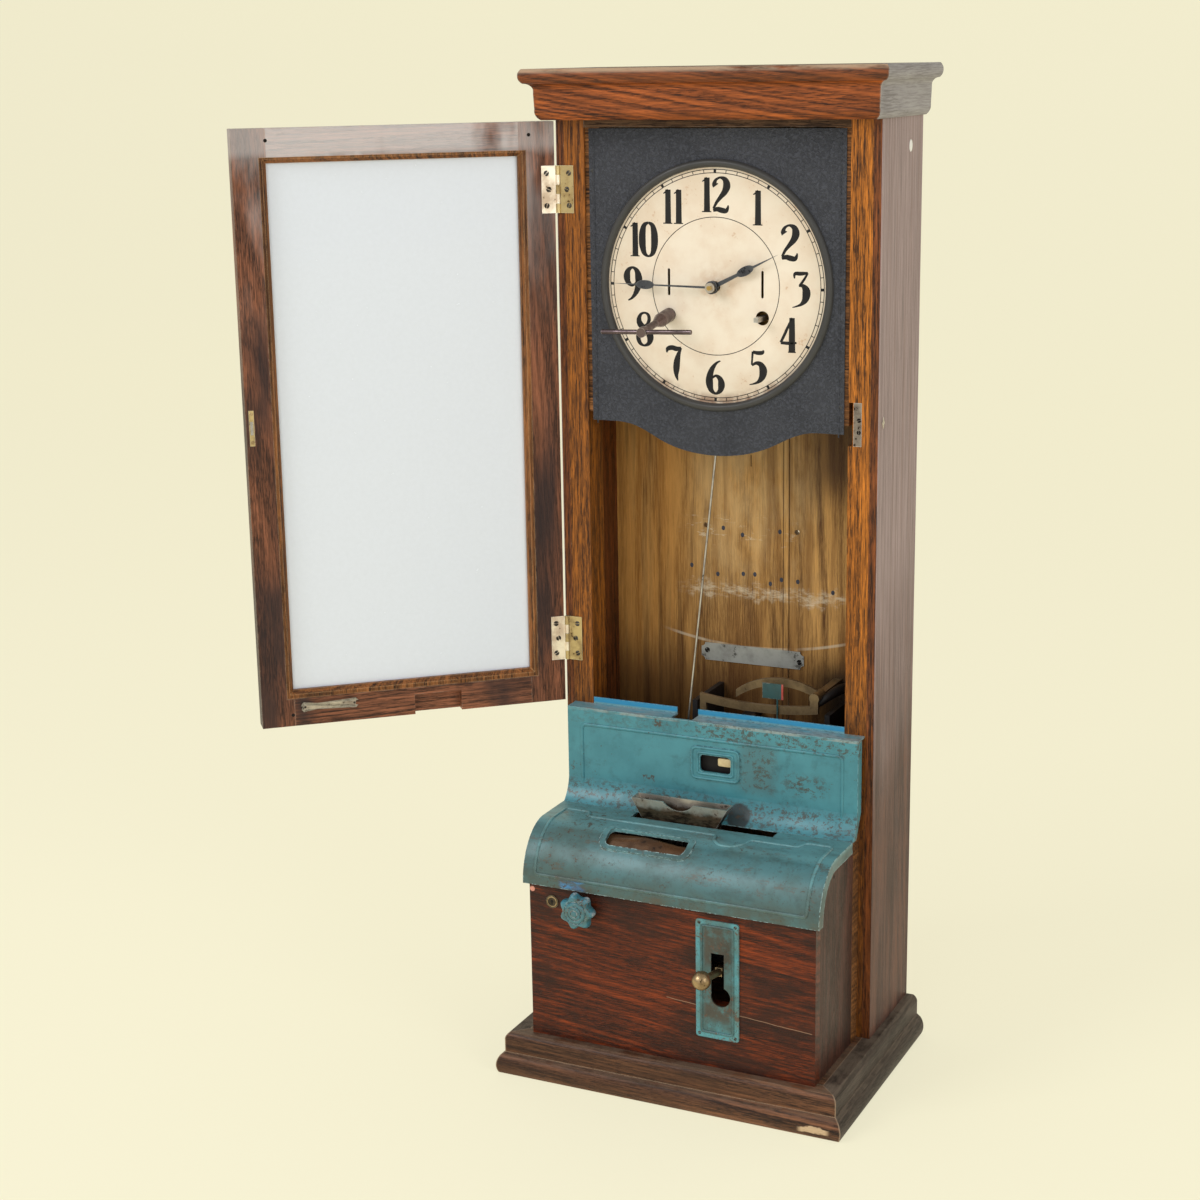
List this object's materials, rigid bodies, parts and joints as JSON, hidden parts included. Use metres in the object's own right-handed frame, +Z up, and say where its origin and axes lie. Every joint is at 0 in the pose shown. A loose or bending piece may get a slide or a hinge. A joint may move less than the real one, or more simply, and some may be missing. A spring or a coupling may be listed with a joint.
{
  "type": "time clock",
  "caption": "Tall wall time recorder: spring clock behind a glazed side-hung door, card receiver, hood, selector knob and punch lever on the box below.",
  "frame": {"origin": "underside of the plinth, on the middle of the case, in the plane of the stiles' front faces", "axes": "+X to the right as one faces the dial, +Y back to the wall, +Z up"},
  "size_m": [0.5766, 0.3184, 0.9586],
  "materials": {
    "case_wood": "dark stained oak, worn varnish",
    "door_wood": "dark stained oak, worn varnish",
    "back_wood": "old pine or oak, scuffed by the pendulum",
    "teal_enamel": "chipped teal enamel over rusty steel",
    "black_crinkle": "black crinkle paint",
    "black_metal": "black satin",
    "dial_paper": "aged printed paper on a tin disc",
    "glass": "clear old sheet glass",
    "aged_brass": "dull brass",
    "bright_steel": "clean steel",
    "worn_steel": "worn steel with rust"
  },
  "bodies": {
    "case": {"apron": "teal_enamel", "back_boards": "back_wood", "base_boards": "case_wood", "battens": "case_wood", "beat_plate": "bright_steel", "bezel_ring": "black_metal", "box_front": "case_wood", "box_sides": "case_wood", "case_sides": "case_wood", "crown_front": "case_wood", "crown_returns": "case_wood", "dial": "dial_paper", "dial_plate": "black_crinkle", "front_stiles": "case_wood", "hinge_case_leaves": "aged_brass", "indicator_tag": "teal_enamel", "linkage_arms": "worn_steel", "movement_bracket": "worn_steel", "movement_frames": "aged_brass", "plinth_front": "case_wood", "plinth_returns": "case_wood", "rear_bracket": "worn_steel", "recorder_frame": "worn_steel", "slot_plate": "teal_enamel", "strike_plate": "aged_brass", "top_boards": "case_wood"},
    "door": {"door_stiles": "door_wood", "door_rails": "door_wood", "glass_pane": "glass", "glass_beads": "door_wood", "door_lock": "aged_brass", "hinge_door_leaves": "aged_brass"},
    "door_bolt": {"door_bolt": "worn_steel"},
    "hood": {"hood": "teal_enamel"},
    "receiver": {"card_receiver": "worn_steel", "receiver_carriage": "worn_steel"},
    "selector": {"star_knob": "teal_enamel", "selector_spindle": "worn_steel"},
    "selector_idler": {"selector_idler": "aged_brass"},
    "punch_lever": {"punch_lever": "worn_steel", "lever_ball": "aged_brass"},
    "hammer": {"hammer": "worn_steel"},
    "hood_lock": {"hood_lock": "aged_brass"},
    "third": {"third_wheel": "aged_brass"},
    "centre": {"centre_wheel": "aged_brass", "cannon_pinion": "aged_brass", "minute_hand": "black_metal", "hand_nut": "bright_steel"},
    "minute_wheel": {"minute_wheel": "aged_brass"},
    "hour": {"hour_wheel": "aged_brass", "hour_hand": "black_metal"},
    "left_winder": {"winding_arbor_left": "worn_steel", "winding_key": "worn_steel"},
    "right_winder": {"winding_arbor_right": "worn_steel"},
    "escape": {"escape_wheel": "aged_brass"},
    "verge": {"verge": "worn_steel"},
    "drive_rod": {"drive_rod": "bright_steel"},
    "feed_arm": {"feed_arm": "worn_steel"},
    "print_wheels": {"print_wheels": "aged_brass"},
    "rear_wheels": {"rear_wheels": "aged_brass"}
  },
  "joints": [
    {"name": "door_hinge", "type": "hinge", "parent": "case", "child": "door", "pos_m": [-0.158, -0.0013, 0.63], "axis": [0, 0, 1], "range_deg": [-28, 85]},
    {"name": "door_bolt_slide", "type": "slide", "parent": "door", "child": "door_bolt", "axis": [0.6665, -0.7455, 0], "range_m": [0, 0.004]},
    {"name": "hood_lift", "type": "slide", "parent": "case", "child": "hood", "axis": [0, -0.4226, 0.9063], "range_m": [0, 0.06]},
    {"name": "receiver_slide", "type": "slide", "parent": "case", "child": "receiver", "axis": [1, 0, 0], "range_m": [0, 0.044]},
    {"name": "selector_turn", "type": "hinge", "parent": "case", "child": "selector", "pos_m": [-0.0895, -0.1, 0.181], "axis": [0, 1, 0], "range_deg": [0, 211]},
    {"name": "idler_turn", "type": "hinge", "parent": "case", "child": "selector_idler", "pos_m": [-0.06179, -0.059, 0.165], "axis": [0, 1, 0], "range_deg": [-127, 0]},
    {"name": "lever_press", "type": "hinge", "parent": "case", "child": "punch_lever", "pos_m": [0.05, -0.06, 0.127], "axis": [1, 0, 0], "range_deg": [0, 24], "stiffness_Nm_per_rad": 0.6, "springref_deg": -17.19},
    {"name": "hammer_strike", "type": "hinge", "parent": "case", "child": "hammer", "pos_m": [-0.0195, -0.07, 0.173], "axis": [1, 0, 0], "range_deg": [-7, 0]},
    {"name": "hood_lock_turn", "type": "hinge", "parent": "case", "child": "hood_lock", "pos_m": [-0.1222, -0.11, 0.1814], "axis": [0, -1, 0], "range_deg": [0, 90]},
    {"name": "third_spin", "type": "hinge", "parent": "case", "child": "third", "pos_m": [-0.00979, 0.04, 0.79153], "axis": [0, 1, 0], "range_deg": [-3120, 160]},
    {"name": "centre_spin", "type": "hinge", "parent": "case", "child": "centre", "pos_m": [0, 0.04, 0.7614], "axis": [0, 1, 0], "continuous": true},
    {"name": "minute_wheel_spin", "type": "hinge", "parent": "case", "child": "minute_wheel", "pos_m": [-0.00513, 0.04, 0.7473], "axis": [0, 1, 0], "continuous": true},
    {"name": "hour_spin", "type": "hinge", "parent": "case", "child": "hour", "pos_m": [0, 0.04, 0.7614], "axis": [0, 1, 0], "continuous": true},
    {"name": "left_winding", "type": "hinge", "parent": "case", "child": "left_winder", "pos_m": [-0.0465, 0.04, 0.7339], "axis": [0, 1, 0], "continuous": true},
    {"name": "right_winding", "type": "hinge", "parent": "case", "child": "right_winder", "pos_m": [0.0465, 0.04, 0.7339], "axis": [0, 1, 0], "continuous": true},
    {"name": "escape_spin", "type": "hinge", "parent": "case", "child": "escape", "pos_m": [0, 0.04, 0.81309], "axis": [0, 1, 0], "continuous": true},
    {"name": "verge_rock", "type": "hinge", "parent": "case", "child": "verge", "pos_m": [0, 0.045, 0.83759], "axis": [0, 1, 0], "range_deg": [-4, 4]},
    {"name": "rod_lift", "type": "slide", "parent": "case", "child": "drive_rod", "axis": [0.1125, 0, 0.9937], "range_m": [0, 0.005]},
    {"name": "feed_arm_swing", "type": "hinge", "parent": "case", "child": "feed_arm", "pos_m": [0, 0.012, 0.3187], "axis": [0, 1, 0], "range_deg": [0, 8]},
    {"name": "print_wheels_spin", "type": "hinge", "parent": "case", "child": "print_wheels", "pos_m": [0, -0.022, 0.222], "axis": [1, 0, 0], "continuous": true},
    {"name": "rear_wheels_spin", "type": "hinge", "parent": "case", "child": "rear_wheels", "pos_m": [0.03, 0.047, 0.312], "axis": [1, 0, 0], "continuous": true}
  ],
  "couplings": [
    {"joint": "selector_turn", "follows": "receiver_slide", "rad_per_m": 83.333},
    {"joint": "idler_turn", "follows": "receiver_slide", "rad_per_m": -50},
    {"joint": "hammer_strike", "follows": "lever_press", "ratio": -0.25},
    {"joint": "centre_spin", "follows": "third_spin", "ratio": -0.1},
    {"joint": "minute_wheel_spin", "follows": "third_spin", "ratio": 0.033333},
    {"joint": "hour_spin", "follows": "third_spin", "ratio": -0.0083333},
    {"joint": "left_winding", "follows": "third_spin", "ratio": 0.014286},
    {"joint": "right_winding", "follows": "third_spin", "ratio": 0.014286},
    {"joint": "escape_spin", "follows": "third_spin", "ratio": -9.6667},
    {"joint": "feed_arm_swing", "follows": "rod_lift", "rad_per_m": 27.6}
  ]
}
